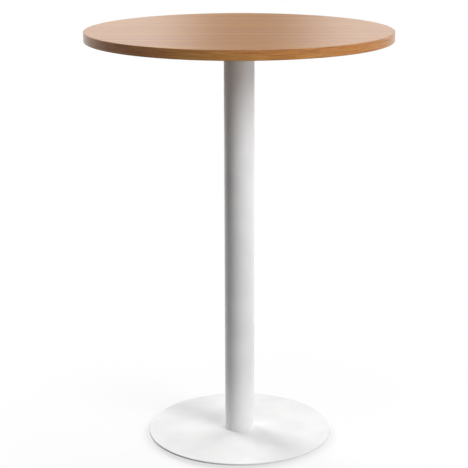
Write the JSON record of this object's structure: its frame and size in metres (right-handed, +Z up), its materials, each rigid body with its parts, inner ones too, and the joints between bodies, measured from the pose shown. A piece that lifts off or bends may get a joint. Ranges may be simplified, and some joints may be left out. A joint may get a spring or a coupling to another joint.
{
  "type": "standing meeting table",
  "caption": "Round wood-decor top on a single tubular column with a thin weighted disc base and levelling feet.",
  "frame": {"origin": "on the floor, under the column's axis, with the feet screwed home", "axes": "+Z up along the column; the spider's arms lie along X and Y, the feet stand between them, and the edging's seam is at +Y"},
  "size_m": [0.8, 0.8, 1.115],
  "materials": {
    "particle_board": "matte",
    "top_decor": "satin",
    "underside_decor": "satin",
    "edge_decor": "satin",
    "cast_grey": "satin",
    "zinc": "satin",
    "raw_steel": "satin",
    "raw_ballast": "matte",
    "black_screws": "satin",
    "white_steel": "satin",
    "white_steel_cover": "satin",
    "nylon": "matte"
  },
  "bodies": {
    "table": {"tabletop_core": "particle_board", "backing_laminate": "underside_decor", "top_laminate": "top_decor", "edge_band": "edge_decor", "top_spider": "cast_grey", "spider_screws": "zinc", "column_tube": "white_steel", "tie_rod": "zinc", "rod_nut": "zinc", "rod_washer": "zinc", "rod_spring_washer": "zinc", "column_locator": "raw_steel", "locator_screws": "black_screws", "base_cover": "white_steel_cover", "ballast_plate": "raw_ballast"},
    "foot_1": {"foot_pad_1": "nylon"},
    "stud_1": {"foot_stud_1": "zinc"},
    "foot_2": {"foot_pad_2": "nylon"},
    "stud_2": {"foot_stud_2": "zinc"},
    "foot_3": {"foot_pad_3": "nylon"},
    "stud_3": {"foot_stud_3": "zinc"},
    "foot_4": {"foot_pad_4": "nylon"},
    "stud_4": {"foot_stud_4": "zinc"}
  },
  "joints": [
    {"name": "foot_1_travel", "type": "slide", "parent": "table", "child": "foot_1", "axis": [0, 0, -1], "range_m": [0, 0.004]},
    {"name": "stud_1_turn", "type": "hinge", "parent": "foot_1", "child": "stud_1", "pos_m": [0.14496, 0.14496, 0.003], "axis": [0, 0, -1], "range_deg": [0, 1153]},
    {"name": "foot_2_travel", "type": "slide", "parent": "table", "child": "foot_2", "axis": [0, 0, -1], "range_m": [0, 0.004]},
    {"name": "stud_2_turn", "type": "hinge", "parent": "foot_2", "child": "stud_2", "pos_m": [-0.14496, 0.14496, 0.003], "axis": [0, 0, -1], "range_deg": [0, 1153]},
    {"name": "foot_3_travel", "type": "slide", "parent": "table", "child": "foot_3", "axis": [0, 0, -1], "range_m": [0, 0.004]},
    {"name": "stud_3_turn", "type": "hinge", "parent": "foot_3", "child": "stud_3", "pos_m": [-0.14496, -0.14496, 0.003], "axis": [0, 0, -1], "range_deg": [0, 1153]},
    {"name": "foot_4_travel", "type": "slide", "parent": "table", "child": "foot_4", "axis": [0, 0, -1], "range_m": [0, 0.004]},
    {"name": "stud_4_turn", "type": "hinge", "parent": "foot_4", "child": "stud_4", "pos_m": [0.14496, -0.14496, 0.003], "axis": [0, 0, -1], "range_deg": [0, 1153]}
  ],
  "couplings": [
    {"joint": "stud_1_turn", "follows": "foot_1_travel", "rad_per_m": 5026.5},
    {"joint": "stud_2_turn", "follows": "foot_2_travel", "rad_per_m": 5026.5},
    {"joint": "stud_3_turn", "follows": "foot_3_travel", "rad_per_m": 5026.5},
    {"joint": "stud_4_turn", "follows": "foot_4_travel", "rad_per_m": 5026.5}
  ]
}
